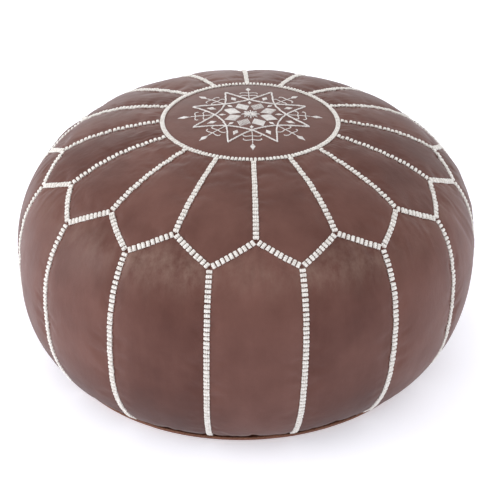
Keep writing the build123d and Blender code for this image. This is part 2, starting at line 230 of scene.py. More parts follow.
turns = np.arange(PANELS * COLUMNS) * (2 * math.pi / (PANELS * COLUMNS))
half_turn = math.pi / PANELS
from_petal_seam = np.abs((turns + half_turn) % (2 * half_turn) - half_turn)
ZIGZAG_SLIPS = 0.001 * np.array([3, 0, 3, -1, -1, 1, 0, -1, 2, 0, -1, 1, 0, -2, 1, 1, -1, 2, 0, -1, 1, 0,
                                 -1, 1, 0, -1, 1, 0, -1, -1, 2, 0])      # hand slips of its points
zigzag_slip = np.interp(turns, np.arange(2 * PANELS + 1) * half_turn, np.r_[ZIGZAG_SLIPS, ZIGZAG_SLIPS[0]])
zigzag_length = UPPER_POINT + ZIGZAG_DROP * from_petal_seam / half_turn + zigzag_slip
SEAM_BOW = 0.9                  # degrees by which one side seam bows to the right at half its height
bowed_seam = 2 * math.pi - half_turn
bow_share = np.exp(-((turns - bowed_seam) / (0.8 * half_turn)) ** 2)


def cover_grid():
    """Angles and lengths of the cover's grid: rows from the ring seam to the zigzag, whose row
    follows the seam itself, then from the zigzag to the lip. One side seam bows."""
    u = np.linspace(0, 1, UPPER_ROWS + 1)[:, None]
    v = np.linspace(0, 1, SIDE_ROWS + 1)[1:, None]
    upper = RING + (zigzag_length - RING) * u
    side = zigzag_length + (SKIN_LENGTH - zigzag_length) * v
    bow = math.radians(SEAM_BOW) * 4 * v * (1 - v) * bow_share
    return np.concatenate([turns + 0 * u, turns + bow]), np.concatenate([upper, side])


def seam_distance(length):
    """Distance along the skin to the nearest seam, at each point of the cover's grid."""
    row = np.arange(len(length))[:, None]
    r = np.interp(length, section_length, section[:, 0])
    across = np.where(row <= UPPER_ROWS, from_petal_seam, half_turn - from_petal_seam) * r
    slant = math.atan2(ZIGZAG_DROP, half_turn * ZIGZAG_RADIUS)
    to_zigzag = np.abs(length - zigzag_length) * math.cos(slant)
    to_ends = np.minimum(length - RING, SKIN_LENGTH - length)
    return np.minimum(np.minimum(across, to_zigzag), to_ends)


def grid_faces(rows, columns, around=False):
    """Quads of a grid of points, row by row, outward where rows go down and columns go anticlockwise."""
    i = np.arange(rows - 1)[:, None] * columns
    j = np.arange(columns if around else columns - 1)[None]
    k = (j + 1) % columns
    return np.stack([i + j, i + columns + j, i + columns + k, i + k], -1).reshape(-1, 4)


def mesh_piece(name, points, faces, material=None):
    """A mesh object at the origin with its points where they are."""
    mesh = bpy.data.meshes.new(name)
    faces = [np.asarray(f) for f in faces] if isinstance(faces, list) else [np.asarray(faces)]
    mesh.vertices.add(len(points))
    mesh.vertices.foreach_set("co", np.asarray(points, np.float32).ravel())
    corners = np.concatenate([f.ravel() for f in faces])
    sizes = np.concatenate([np.full(len(f), f.shape[1]) for f in faces])
    mesh.loops.add(len(corners))
    mesh.loops.foreach_set("vertex_index", corners.astype(np.int32))
    mesh.polygons.add(len(sizes))
    mesh.polygons.foreach_set("loop_start", np.r_[0, np.cumsum(sizes)[:-1]].astype(np.int32))
    mesh.polygons.foreach_set("use_smooth", np.full(len(sizes), True))
    mesh.update(calc_edges=True)
    mesh.validate()
    piece = bpy.data.objects.new(name, mesh)
    bpy.context.scene.collection.objects.link(piece)
    if material:
        mesh.materials.append(material)
    return piece


def attribute(piece, name, values):
    """One number for each point of a piece, which its material reads."""
    data = piece.data.attributes.new(name, "FLOAT", "POINT")
    data.data.foreach_set("value", np.broadcast_to(values, len(piece.data.vertices)).astype(np.float32))


def stands_for(piece, node):
    """Puts a piece on the pouf in the place of a CAD node."""
    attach(piece, "pouf")
    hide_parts(node)


def puffed_by_stuffing(points, held, reach):
    """Cloth simulation of the cover: it is pinned along its seams, slightly too large for the space
    between them, and pushed out by the stuffing. A point's move is reach times the hyperbolic tangent
    of its size over reach, so that none goes further than that."""
    rows, columns = points.shape[:2]
    cloth_piece = mesh_piece("cover_cloth", points.reshape(-1, 3), grid_faces(rows, columns, True))
    group = cloth_piece.vertex_groups.new(name="seams")
    group.add(np.flatnonzero(held.ravel()).tolist(), 1.0, "REPLACE")
    cloth = cloth_piece.modifiers.new("cloth", "CLOTH")
    settings = cloth.settings
    settings.vertex_group_mass = "seams"
    settings.quality = 6
    settings.mass = 0.3
    settings.tension_stiffness = settings.compression_stiffness = 20
    settings.shear_stiffness = 8
    settings.bending_stiffness = 0.6
    settings.shrink_min = -0.012
    settings.use_pressure = True
    settings.uniform_pressure_force = 3
    settings.effector_weights.gravity = 0
    cloth.collision_settings.use_collision = False
    scene = bpy.context.scene
    for step in range(1, 21):
        scene.frame_set(step)
    shaped = cloth_piece.evaluated_get(bpy.context.evaluated_depsgraph_get())
    moved = np.empty(rows * columns * 3, np.float32)
    shaped.data.vertices.foreach_get("co", moved)
    scene.frame_set(1)
    bpy.data.objects.remove(cloth_piece)
    move = moved.reshape(rows, columns, 3) - points
    size = np.maximum(np.linalg.norm(move, axis=-1, keepdims=True), 1e-9)
    return points + move * reach * np.tanh(size / reach) / size


def grid_normals(points):
    """Outward direction at each point of a grid that closes round."""
    along = np.roll(points, -1, 1) - np.roll(points, 1, 1)
    down = np.gradient(points, axis=0)
    normal = np.cross(down, along)
    return normal / np.linalg.norm(normal, axis=-1, keepdims=True)


def finer(points, axis, closed):
    """Twice as many points along an axis: new ones lie on the cubic through their four neighbours."""
    p = np.moveaxis(points, axis, 0)
    if closed:
        before, after, second = np.roll(p, 1, 0), np.roll(p, -1, 0), np.roll(p, -2, 0)
        middle = (9 * (p + after) - before - second) / 16
        result = np.stack([p, middle], 1).reshape(-1, *p.shape[1:])
    else:
        wide = np.concatenate([2 * p[:1] - p[1:2], p, 2 * p[-1:] - p[-2:-1]])
        middle = (9 * (wide[1:-2] + wide[2:-1]) - wide[:-3] - wide[3:]) / 16
        result = np.concatenate([np.stack([p[:-1], middle], 1).reshape(-1, *p.shape[1:]), p[-1:]])
    return np.moveaxis(result, 0, axis)


cover_angle, cover_length = cover_grid()
cover_distance = seam_distance(cover_length)
puff = PUFF - (PUFF + SEAM_SINK) * np.exp(-cover_distance / PUFF_REACH)
cover = settled(skin(cover_angle, cover_length, puff))
cover = puffed_by_stuffing(cover, cover_distance < 1e-6, BELLY)
cover = finer(finer(cover, 0, False), 1, True)
cover_length = finer(finer(cover_length, 0, False), 1, True)
cover_angle = np.broadcast_to(np.arange(cover.shape[1]) * (2 * math.pi / cover.shape[1]), cover_length.shape)
cover_seam = np.maximum(finer(finer(cover_distance, 0, False), 1, True), 0)
ROW_ZIGZAG = 2 * UPPER_ROWS
WIDE = 2 * COLUMNS
SINES = 5                       # added up for one random ripple
PUCKER = 0.00035                # height of the small puckers that the stitches draw up
PUCKER_LENGTH = 0.012           # from one pucker to the next
PUCKER_REACH = 0.009            # how far from the seam they die away
SWELL = 0.0006                  # height of the broad unevenness of the filling under the skin
FOLD_WIDTH = 0.0022             # half width of the soft folds that hang from the zigzag
FOLDS_A_PANEL = 5
FOLD_SPREAD = 0.22              # how far folds stray from the middle of a side panel, share of its width
FOLD_HEIGHTS = (0.0003, 0.0007)
FOLD_RUNS = (0.030, 0.062)      # shortest and longest
FOLD_DRIFT = 0.02               # how far they slant, as an angle round the pouf
SEAM_HOLD = 0.004               # closer than this to a seam, all of these fade out
LIP_LIFT = 0.0038               # how far the lower edge is drawn up off the base
LIP_WAVE = 0.0012               # how far the lower edge wanders up and down
LIP_REACH = 0.008               # how far up the skin both are felt
# Heavy folds: degrees from the front, start and run in mm down the skin, degrees they drift, and
# height in mm. The start is counted from the zigzag's lower points, so below zero is above them.
HEAVY_FOLDS = [(62, -16, 95, 9, -0.9), (66, -12, 120, 12, 0.8), (71, -17, 110, 13, -0.8),
               (78, -8, 90, 10, 0.7), (84, -15, 130, 14, -0.9), (-101, -14, 80, -8, -0.7),
               (-122, -10, 110, -10, 0.8), (128, -14, 100, 9, -0.8), (163, -12, 90, -7, 0.7),
               (-158, -16, 105, 8, -0.8)]


def waves(x, wavelength, draw):
    """Smooth random ripple along x, between about -1 and 1: sines of nearly one wavelength added up."""
    k = 2 * math.pi / (wavelength * draw.uniform(0.75, 1.35, SINES))
    phase = draw.uniform(0, 2 * math.pi, SINES)
    return sum(np.sin(k[i] * x + phase[i]) for i in range(SINES)) / math.sqrt(SINES)


def fold(angle, length, place, top, run, drift, width):
    """One soft fold: a bell across, fading in and out along its run, which drifts sideways going down."""
    down = (length - top) / run
    centre = place + drift * down
    r = np.interp(length, section_length, section[:, 0])
    across = np.remainder(angle - centre + math.pi, 2 * math.pi) - math.pi
    fade = np.clip(4 * down * (1 - down), 0, 1)
    return np.exp(-(across * r / width) ** 2) * fade


def wrinkled(points, angle, length, seam, draw):
    """The skin with its puckers beside the seams, its soft folds below the zigzag and its wavy lip."""
    normal = grid_normals(points)
    lift = PUCKER * np.exp(-seam / PUCKER_REACH) * (
        waves(length, PUCKER_LENGTH, draw) + waves(angle * HALF_WIDTH, PUCKER_LENGTH, draw)) / 1.4
    lift += SWELL * waves(length, 0.13, draw) * waves(angle * HALF_WIDTH, 0.16, draw)
    for panel in range(PANELS):
        for _ in range(FOLDS_A_PANEL):
            place = (panel + draw.normal(0, FOLD_SPREAD)) * 2 * half_turn
            top = UPPER_POINT + 0.25 * ZIGZAG_DROP + draw.uniform(0, 0.006)
            lift += draw.choice((-1, 1)) * draw.uniform(*FOLD_HEIGHTS) * fold(
                angle, length, place, top, draw.uniform(*FOLD_RUNS), draw.normal(0, FOLD_DRIFT), FOLD_WIDTH)
    for place, top, run, drift, height in HEAVY_FOLDS:
        lift += 0.001 * height * fold(angle, length, math.radians(place), LOWER_POINT + 0.001 * top,
                                      0.001 * run, math.radians(drift), 2 * FOLD_WIDTH)
    lift *= np.clip(seam / SEAM_HOLD, 0, 1)
    points = points + normal * lift[..., None]
    edge = np.exp(-(SKIN_LENGTH - length) / LIP_REACH)
    points[..., 2] += edge * (LIP_LIFT + LIP_WAVE * waves(angle * HALF_WIDTH, 0.11, draw))
    return points


cover = wrinkled(cover, cover_angle, cover_length, cover_seam, np.random.default_rng(3))
cover_normal = grid_normals(cover)


def shader_tools(tree, place):
    """Short ways to lay a noise texture and a sum in a material's tree."""
    link, new = tree.links.new, tree.nodes.new

    def noise(scale, detail, stretch=(1, 1, 1), rough=0.55):
        mapping, texture = new("ShaderNodeMapping"), new("ShaderNodeTexNoise")
        mapping.inputs["Scale"].default_value = stretch
        texture.inputs["Scale"].default_value = scale
        texture.inputs["Detail"].default_value = detail
        texture.inputs["Roughness"].default_value = rough
        link(place, mapping.inputs["Vector"])
        link(mapping.outputs["Vector"], texture.inputs["Vector"])
        return texture.outputs["Fac"]

    def maths(operation, *values):
        node = new("ShaderNodeMath")
        node.operation = operation
        for socket, value in zip(node.inputs, values):
            if isinstance(value, (int, float)):
                socket.default_value = value
            else:
                link(value, socket)
        return node.outputs[0]

    def ramp(value, stops):
        node = new("ShaderNodeValToRGB")
        first, last = node.color_ramp.elements
        first.position, first.color = stops[0][0], (*stops[0][1], 1)
        last.position, last.color = stops[-1][0], (*stops[-1][1], 1)
        for at, colour in stops[1:-1]:
            node.color_ramp.elements.new(at).color = (*colour, 1)
        link(value, node.inputs["Fac"])
        return node.outputs["Color"]

    def bump(height, distance, strength=1.0, onto=None):
        node = new("ShaderNodeBump")
        node.inputs["Strength"].default_value = strength
        node.inputs["Distance"].default_value = distance
        link(height, node.inputs["Height"])
        if onto is not None:
            link(onto, node.inputs["Normal"])
        return node.outputs["Normal"]

    return noise, maths, ramp, bump


MIX_SHARE, MIX_FIRST, MIX_SECOND, MIX_RESULT = 0, 6, 7, 2      # sockets of a Mix node set to colours
# Pale colour of the shoulder scuffs, which also serves as a painted sheen highlight.
SHEEN_SCUFF_COLOUR = (0.36, 0.25, 0.20, 1)


def leather_material(name, dark, mid, light, roughness, cloudy=1.0, painted_floor_shade=0.0):
    """Waxed and dyed goatskin: three close tones in soft clouds and faint streaks down the skin, a tone
    of its own for each panel, paler where it is rubbed beside the seams, painted shade that makes it
    darker towards the floor, dusty scuffs with a painted sheen highlight on the shoulders, a fine
    pebbled grain with hair creases, and a satin finish."""
    material, tree, shader = node_material(name)
    link, new = tree.links.new, tree.nodes.new
    place = new("ShaderNodeTexCoord").outputs["Object"]
    noise, maths, ramp, bump = shader_tools(tree, place)
    tone, seam = new("ShaderNodeAttribute"), new("ShaderNodeAttribute")
    tone.attribute_name, seam.attribute_name = "tone", "seam"
    mixed = maths("ADD", maths("MULTIPLY", noise(7, 5), 0.55 * cloudy),
                  maths("MULTIPLY", noise(26, 5), 0.34 * cloudy))
    mixed = maths("ADD", mixed, maths("MULTIPLY", noise(40, 4, (1, 1, 0.14)), 0.26 * cloudy))
    mixed = maths("ADD", mixed, maths("MULTIPLY", tone.outputs["Fac"], 0.22))
    mixed = maths("ADD", mixed, maths("MULTIPLY", seam.outputs["Fac"], 0.10))
    height = new("ShaderNodeSeparateXYZ")
    link(place, height.inputs[0])
    # Painted shade: below 10 cm the leather is drawn darker, darkest at the floor.
    mixed = maths("ADD", mixed, maths("MULTIPLY", maths("MINIMUM", height.outputs["Z"], 0.10), painted_floor_shade))
    # Painted sheen highlight with scuffs: pale streaky patches on the shoulders of the side panels.
    shoulder_sheen = new("ShaderNodeAttribute")
    shoulder_sheen.attribute_name = "shoulder_sheen"
    streaks = maths("MAXIMUM", maths("SUBTRACT", noise(64, 5, (1, 1, 0.30), 0.7), 0.36), 0)
    sheen_scuffed = new("ShaderNodeMix")
    sheen_scuffed.data_type = "RGBA"
    streaks = maths("MULTIPLY", streaks, 2.4)
    link(maths("MULTIPLY", streaks, shoulder_sheen.outputs["Fac"]), sheen_scuffed.inputs[MIX_SHARE])
    link(ramp(mixed, [(0.42, dark), (0.70, mid), (1.0, light)]), sheen_scuffed.inputs[MIX_FIRST])
    sheen_scuffed.inputs[MIX_SECOND].default_value = SHEEN_SCUFF_COLOUR
    link(sheen_scuffed.outputs[MIX_RESULT], shader.inputs["Base Color"])
    link(maths("ADD", maths("MULTIPLY", noise(34, 4), 0.22), roughness - 0.11), shader.inputs["Roughness"])
    shader.inputs["Specular IOR Level"].default_value = 0.21
    shader.inputs["Sheen Weight"].default_value = 0.02
    shader.inputs["Sheen Roughness"].default_value = 0.45
    grain = new("ShaderNodeTexVoronoi")
    grain.inputs["Scale"].default_value = 850
    link(place, grain.inputs["Vector"])
    creases = new("ShaderNodeTexVoronoi")
    creases.feature = "DISTANCE_TO_EDGE"
    creases.inputs["Scale"].default_value = 95
    link(place, creases.inputs["Vector"])
    crease = maths("MINIMUM", maths("MULTIPLY", creases.outputs["Distance"], 6), 0.5)
    fine = bump(maths("ADD", grain.outputs["Distance"], crease), 0.00012, 0.5)
    link(bump(noise(60, 5, (1, 1, 0.4)), 0.0016, 0.35, fine), shader.inputs["Normal"])
    return material


# The last number sets the painted shade towards the floor.
dyed_leather = leather_material("dyed_leather", (0.053, 0.017, 0.013), (0.096, 0.035, 0.026),
                                (0.160, 0.070, 0.055), 0.46, 0.85, 2.0)


def closed_shell(outer, normal, thickness):
    """Closed skin: the outer grid, the same grid moved in by the thickness, and a rim between."""
    rows, columns = outer.shape[:2]
    inner = outer - normal * thickness
    points = np.concatenate([outer.reshape(-1, 3), inner.reshape(-1, 3)])
    faces = grid_faces(rows, columns)
    index = np.arange(rows * columns).reshape(rows, columns)
    edge = np.r_[index[0, :-1], index[:-1, -1], index[-1, :0:-1], index[:0:-1, 0]]
    after = np.roll(edge, -1)
    rim = np.stack([edge, after, after + rows * columns, edge + rows * columns], -1)
    return points, np.concatenate([faces, faces[:, ::-1] + rows * columns, rim])


RUB_REACH = 0.006               # how far from a seam the leather is rubbed paler


def leather_piece(name, node, rows, columns, tone):
    """One panel of the cover, cut out of the grid, with its leather thickness."""
    outer = cover[rows][:, columns]
    points, faces = closed_shell(outer, cover_normal[rows][:, columns], LEATHER)
    piece = mesh_piece(name, points, faces, dyed_leather)
    attribute(piece, "tone", tone)
    attribute(piece, "seam", np.tile(np.exp(-cover_seam[rows][:, columns] / RUB_REACH).ravel(), 2))
    stands_for(piece, node)
    return piece


SHEEN_SCUFFS = {15: 0.44, 1: 0.38, 0: 0.22, 14: 0.20, 5: 0.3, 9: 0.25, 11: 0.35}    # by panel, the rest faint: scuffs and a painted sheen highlight
SHEEN_SCUFF_DOWN, SHEEN_SCUFF_REACH = 0.038, 0.024     # middle of the scuffs and painted sheen highlight below the zigzag's upper points
tones = np.random.default_rng(7)
ALL_COLUMNS = PANELS * WIDE
for panel in range(PANELS):
    petal_columns = np.arange(panel * WIDE, (panel + 1) * WIDE + 1) % ALL_COLUMNS
    side_columns = (petal_columns - WIDE // 2) % ALL_COLUMNS
    leather_piece(f"petal_leather_{panel + 1:02d}", f"upper_panel_{panel + 1:02d}",
                  slice(0, ROW_ZIGZAG + 1), petal_columns, tones.uniform(0.1, 0.9))
    side = leather_piece(f"side_leather_{panel + 1:02d}", f"side_panel_{panel + 1:02d}",
                         slice(ROW_ZIGZAG, None), side_columns, tones.uniform(0.1, 0.9))
    below_point = cover_length[ROW_ZIGZAG:][:, side_columns] - UPPER_POINT
    # Painted sheen highlight with scuffs, its strength by panel, fading above and below the shoulder.
    worn = SHEEN_SCUFFS.get(panel, 0.12) * np.exp(-((below_point - SHEEN_SCUFF_DOWN) / SHEEN_SCUFF_REACH) ** 2)
    attribute(side, "shoulder_sheen", np.tile(worn.ravel(), 2))

# ---------------------------------------------------------------------------------------------
# Medallion: the round panel on top, a single disc of the same leather, drawn a little into the
# ring seam at its edge and domed by the stuffing.
# ---------------------------------------------------------------------------------------------
MEDALLION_COLUMNS, MEDALLION_ROWS = 352, 40


def medallion_height(length):
    """Rise of the medallion above the outline: full in the middle, sunk at the ring seam."""
    return PUFF - (PUFF + SEAM_SINK) * np.exp(-(RING - length) / PUFF_REACH)


def disc_piece(name, point_of, rows, columns, thickness, material):
    """Closed disc: rings of points round one centre point, above and below, and a rim."""
    angle = np.arange(columns) * (2 * math.pi / columns)
    share = np.linspace(0, 1, rows + 1)[1:, None]
    outer = point_of(angle[None], share)
    centre = point_of(np.zeros(1), np.zeros(1))[0]
    normal = grid_normals(outer)
    inner = outer - normal * thickness
    count = rows * columns
    points = np.concatenate([[centre], outer.reshape(-1, 3),
                             [centre - (0, 0, thickness)], inner.reshape(-1, 3)])
    faces = grid_faces(rows, columns, True) + 1
    first = np.arange(columns) + 1
    fan = np.stack([np.zeros_like(first), first, np.roll(first, -1)], -1)
    last = count - columns + 1 + np.arange(columns)
    after = np.roll(last, -1)
    rim = np.stack([last, last + count + 1, after + count + 1, after], -1)
    quads = np.concatenate([faces, faces[:, ::-1] + count + 1, rim])
    return mesh_piece(name, points, [quads, np.concatenate([fan, fan[:, ::-1] + count + 1])], material)


def medallion_point(angle, share):
    """Point of the medallion at an angle and a share of the way from its centre to the ring."""
    return settled(skin(angle, share * RING, medallion_height(share * RING)))


medallion = disc_piece("medallion_leather", medallion_point, MEDALLION_ROWS, MEDALLION_COLUMNS, LEATHER,
                       dyed_leather)
attribute(medallion, "tone", 0.7)
attribute(medallion, "seam", 0.0)
stands_for(medallion, "medallion")

# ---------------------------------------------------------------------------------------------
# Seam stitches: off-white waxed thread, sewn by hand. Each stitch is a block of three strands that
# run along the seam side by side, rise out of one row of holes and dive into the next.
# ---------------------------------------------------------------------------------------------
STITCH = 0.0050                 # from one row of holes to the next
STITCH_WIDTH = 0.0061           # across the seam
RING_STITCH, RING_WIDTH = 0.0043, 0.0050    # smaller on the ring and where the petals leave it
STRANDS = 3
STRAND_PLACES = np.array([-1, -0.86, -0.6, 0, 0.6, 0.86, 1])     # rings of a strand along it
STRAND_SIDES = 5
STITCH_RISE = 0.0009            # middle of a strand above the seam
STITCH_DIVE = 0.0023            # its ends below that
STITCH_FILL = 0.82              # length of a stitch, share of the way to the next one
STITCH_CROWN = 0.0005           # how much higher the middle strand lies than the edges
STITCH_SLIP = 0.00018           # how far the hand misplaces a stitch along the seam
STRAND_SLIP = 0.00008           # and a strand within it
STRAND_PLUMP = 1.3              # thickness of a strand, share of its part of the stitch's width


def thread_material(name, colour, shade, gloss=0.55):
    """Twisted waxed thread: a little darker in patches, with its twist as a slanting bump."""
    material, tree, shader = node_material(name)
    link, new = tree.links.new, tree.nodes.new
    place = new("ShaderNodeTexCoord").outputs["Object"]
    noise, maths, ramp, bump = shader_tools(tree, place)
    link(ramp(noise(260, 3), [(0.32, shade), (0.58, colour)]), shader.inputs["Base Color"])
    link(maths("ADD", maths("MULTIPLY", noise(500, 2), 0.2), gloss - 0.1), shader.inputs["Roughness"])
    shader.inputs["Specular IOR Level"].default_value = 0.35
    shader.inputs["Sheen Weight"].default_value = 0.15
    wave = new("ShaderNodeTexWave")
    wave.bands_direction = "DIAGONAL"
    wave.inputs["Scale"].default_value = 520
    wave.inputs["Distortion"].default_value = 2
    link(place, wave.inputs["Vector"])
    link(bump(wave.outputs["Fac"], 0.0002, 0.5), shader.inputs["Normal"])
    return material


seam_thread = thread_material("seam_thread", (0.90, 0.87, 0.83), (0.74, 0.70, 0.65))


def strands(middle, along, up, length, width, rise, dive):
    """Many strands at once, each a flat-topped arch along its own direction: its centre line falls off
    with the fifth power of the way to its end, and its round section narrows a little there."""
    side, sides = np.cross(up, along), STRAND_SIDES
    u = STRAND_PLACES
    arch = rise[:, None] - dive[:, None] * np.abs(u) ** 5
    centre = (middle[:, None] + along[:, None] * (u[None, :, None] * length[:, None, None] / 2)
              + up[:, None] * arch[..., None])
    full = 1 - 0.3 * np.abs(u) ** 5
    turn = (np.arange(sides) + 0.5) * (2 * math.pi / sides)
    out = side[:, None] * np.cos(turn)[None, :, None] + up[:, None] * np.sin(turn)[None, :, None]
    points = centre[:, :, None] + out[:, None] * (width[:, None, None, None] / 2 * full[None, :, None, None])
    rings = len(u)
    quads = grid_faces(rings, sides, True)[:, ::-1]
    start = np.arange(sides)[None, :]
    caps = np.concatenate([start[:, ::-1], (rings - 1) * sides + start])
    shift = (np.arange(len(middle)) * rings * sides)[:, None, None]
    return (points.reshape(-1, 3), (quads[None] + shift).reshape(-1, 4),
            (caps[None] + shift).reshape(-1, sides))


def joined(parts):
    """Several lots of points, quads and end caps as one."""
    counts = np.r_[0, np.cumsum([len(p[0]) for p in parts])[:-1]]
    points = np.concatenate([p[0] for p in parts])
    return points, [np.concatenate([p[k] + c for p, c in zip(parts, counts)]) for k in (1, 2)]


def seam_stitches(left, middle, right, start, stop, draw, pitch=STITCH,
                  widths=(STITCH_WIDTH, STITCH_WIDTH)):
    """Stitches along a seam given by three lines of points: the seam and the skin either side of it.
    Stitches fill the seam from start to stop, evenly but for small slips of the hand. Their strands lie
    side by side across the crease, the middle one highest. The widths are those at the two ends."""
    step = np.linalg.norm(np.diff(middle, axis=0), axis=1)
    length = np.r_[0, np.cumsum(step)]
    first, last = start, length[-1] - stop
    count = max(1, int(round((last - first) / pitch)))
    pitch = (last - first) / count
    centres = first + pitch * (np.arange(count) + 0.5)
    centres = centres + draw.normal(0, STITCH_SLIP, count)
    wide = np.linspace(*widths, count)[:, None]

    def along_line(line, at):
        return np.stack([np.interp(at, length, line[:, i]) for i in range(3)], -1)

    parts = []
    for strand in range(STRANDS):
        share = (strand - (STRANDS - 1) / 2) / STRANDS
        at = centres + draw.normal(0, STRAND_SLIP, count)
        here, before, after = (along_line(middle, at + d) for d in (0, -pitch / 2, pitch / 2))
        run = after - before
        run /= np.linalg.norm(run, axis=1, keepdims=True)
        edges = []
        for line in (left, right):
            beside = along_line(line, at) - here
            edges.append(here + beside * (wide / 2 / np.linalg.norm(beside, axis=1, keepdims=True)))
        up = np.cross(run, edges[1] - edges[0])
        up /= np.linalg.norm(up, axis=1, keepdims=True)
        aside = np.cross(up, run)
        crown = STITCH_CROWN * (1 - (2 * share) ** 2)
        place = ((edges[0] + edges[1]) / 2 + aside * share * wide
                 + up * (crown + STRAND_SLIP * draw.normal(0, 1, (count, 1))))
        run = run + aside * draw.normal(0, 0.05, (count, 1))
        run /= np.linalg.norm(run, axis=1, keepdims=True)
        parts.append(strands(place, run, up, pitch * STITCH_FILL * draw.normal(1, 0.02, count),
                             wide[:, 0] / STRANDS * draw.normal(STRAND_PLUMP, 0.05, count),
                             STITCH_RISE * draw.normal(1, 0.06, count),
                             np.full(count, STITCH_DIVE)))
    return parts


def thread_piece(name, parts, node, material):
    """Strands as one piece that stands for a node."""
    points, faces = joined(parts)
    piece = mesh_piece(name, points, faces, material)
    stands_for(piece, node)


def seam_lines(rows, column):
    """A seam that runs down the cover at a column, and the skin either side of it."""
    return [cover[rows, (column + aside) % ALL_COLUMNS] for aside in (-2, 0, 2)]


hand = np.random.default_rng(21)
JUNCTION = 0.0022               # stitches stop at least this far from a crossing
ZIGZAG_END = 0.0015             # those of the zigzag, this far from its points

ring_line = np.concatenate([cover[0], cover[:1, 0]])
ring_out = np.concatenate([cover[2], cover[2, :1]])
ring_angle = np.r_[np.arange(ALL_COLUMNS), 0] * (2 * math.pi / ALL_COLUMNS)
ring_in = settled(skin(ring_angle, RING - 0.005, medallion_height(RING - 0.005)))
thread_piece("ring_stitches", seam_stitches(ring_out, ring_line, ring_in, 0, 0, hand, RING_STITCH,
                                            (RING_WIDTH, RING_WIDTH)),
             "ring_stitching", seam_thread)

petal_parts, side_parts, zigzag_parts = [], [], []
for panel in range(PANELS):
    petal_parts += seam_stitches(*seam_lines(slice(0, ROW_ZIGZAG + 1), panel * WIDE), JUNCTION + 0.0006,
                                 JUNCTION + 0.0008, hand, widths=(RING_WIDTH, STITCH_WIDTH))
    side_parts += seam_stitches(*seam_lines(slice(ROW_ZIGZAG, None), panel * WIDE + WIDE // 2),
                                JUNCTION + 0.0012, 0, hand)
    for start in (panel * WIDE, panel * WIDE + WIDE // 2):
        columns = (start + np.arange(WIDE // 2 + 1)) % ALL_COLUMNS
        lines = [cover[ROW_ZIGZAG + r, columns] for r in (2, 0, -2)]
        zigzag_parts += seam_stitches(*lines, ZIGZAG_END, ZIGZAG_END, hand)
thread_piece("petal_seam_stitches", petal_parts, "upper_seam_stitching", seam_thread)
thread_piece("side_seam_stitches", side_parts, "side_seam_stitching", seam_thread)
thread_piece("zigzag_stitches", zigzag_parts, "zigzag_stitching", seam_thread)

# ---------------------------------------------------------------------------------------------
# Embroidery on the medallion: fine off-white silk. An eight-pointed star in stem stitch with an arrow
# between each two points, and satin-stitched lozenges round a daisy in the middle.
# ---------------------------------------------------------------------------------------------
STAR_TIP, STAR_CROSSING = 0.0725, 0.0415
ARROW_NECK, ARROW_TIP, ARROW_HALF = 0.0700, 0.0850, 0.0031
ARROW_BARS, BAR_HALF, BAR_HOOK = (0.0545, 0.0640), 0.0108, 0.0036
STAR_SILK, ARROW_SILK = 0.0026, 0.0015     # widths of the two lines
LEAF = (0.0490, 0.0064, 0.0034, 7)         # middle, half length, half width and strands of one
BUD = (0.0332, 0.0050, 0.0022, 5)          # the same for the small leaves near the daisy
OPEN_LOZENGES = (2, 3, 6, 7)               # arms whose lozenge is worked with gaps, the rest densely
PETAL_MIDDLE, PETAL_LONG, PETAL_WIDE = 0.0228, 0.0116, 0.0090
DAISY, DAISY_SHORT = 0.0112, 0.78          # its long rays, and the short ones as a share of them
RAY_WIDTH = 0.0014


def on_medallion(plan):
    """Points of the medallion above places in plan, and the outward direction at each."""
    r, angle = np.hypot(plan[:, 0], plan[:, 1]), np.arctan2(plan[:, 0], -plan[:, 1])
    length = np.interp(r, section[dome, 0], section_length[dome])
    low = settled(skin(angle, length, medallion_height(length)))
    up = settled(skin(angle, length, medallion_height(length) + 0.001)) - low
    return low, up / np.linalg.norm(up, axis=1, keepdims=True)


def sewn(start, end, width, draw, rise=0.3):
    """Strands from plan places to others, each an arch half sunk in the leather."""
    middle, up = on_medallion((start + end) / 2)
    run = on_medallion(end)[0] - on_medallion(start)[0]
    length = np.linalg.norm(run, axis=1)
    width = width * draw.normal(1, 0.06, len(start))
    return strands(middle, run / length[:, None], up, length, width, rise * width, 0.9 * width)


def stem_stitched(line, width, draw):
    """Stem stitch along a plan line: short strands that overlap by half, each slanting across it."""
    length = np.r_[0, np.cumsum(np.linalg.norm(np.diff(line, axis=0), axis=1))]
    count = max(2, int(length[-1] / (1.5 * width)))
    at = np.linspace(0, length[-1], count + 1)

    def place(s, aside):
        here = np.stack([np.interp(s, length, line[:, i]) for i in (0, 1)], 1)
        ahead = np.stack([np.interp(s + width, length, line[:, i]) for i in (0, 1)], 1)
        back = np.stack([np.interp(s - width, length, line[:, i]) for i in (0, 1)], 1)
        run = (ahead - back) / np.linalg.norm(ahead - back, axis=1, keepdims=True)
        return here + aside * np.stack([-run[:, 1], run[:, 0]], 1)

    slip = draw.normal(0, 0.06 * width, (count, 1))
    return sewn(place(at[:-1] - 0.5 * width, -0.17 * width) + slip,
                place(at[1:] + 0.5 * width, 0.17 * width) + slip, 0.68 * width, draw)


def turned(points, angle):
    """Plan points given as (across, outward) from the front, turned about the centre by angle."""
    across, outward = np.asarray(points, float).T
    return np.stack([outward * np.sin(angle) + across * np.cos(angle),
                     -outward * np.cos(angle) + across * np.sin(angle)], 1)


def satin_diamond(middle, long, wide, threads, slant, fill, angle, draw):
    """Lozenge filled with strands that run parallel to one pair of its sides. Fill is the width of
    a strand as a share of the room it has."""
    share = (np.arange(threads) + 0.5) / threads
    start = np.stack([-slant * wide * share, middle - long + long * share], 1)
    end = start + (slant * wide, long)
    width = 2 * long * wide / math.hypot(long, wide) / threads
    return sewn(turned(start, angle), turned(end, angle), width * fill, draw, 0.22)


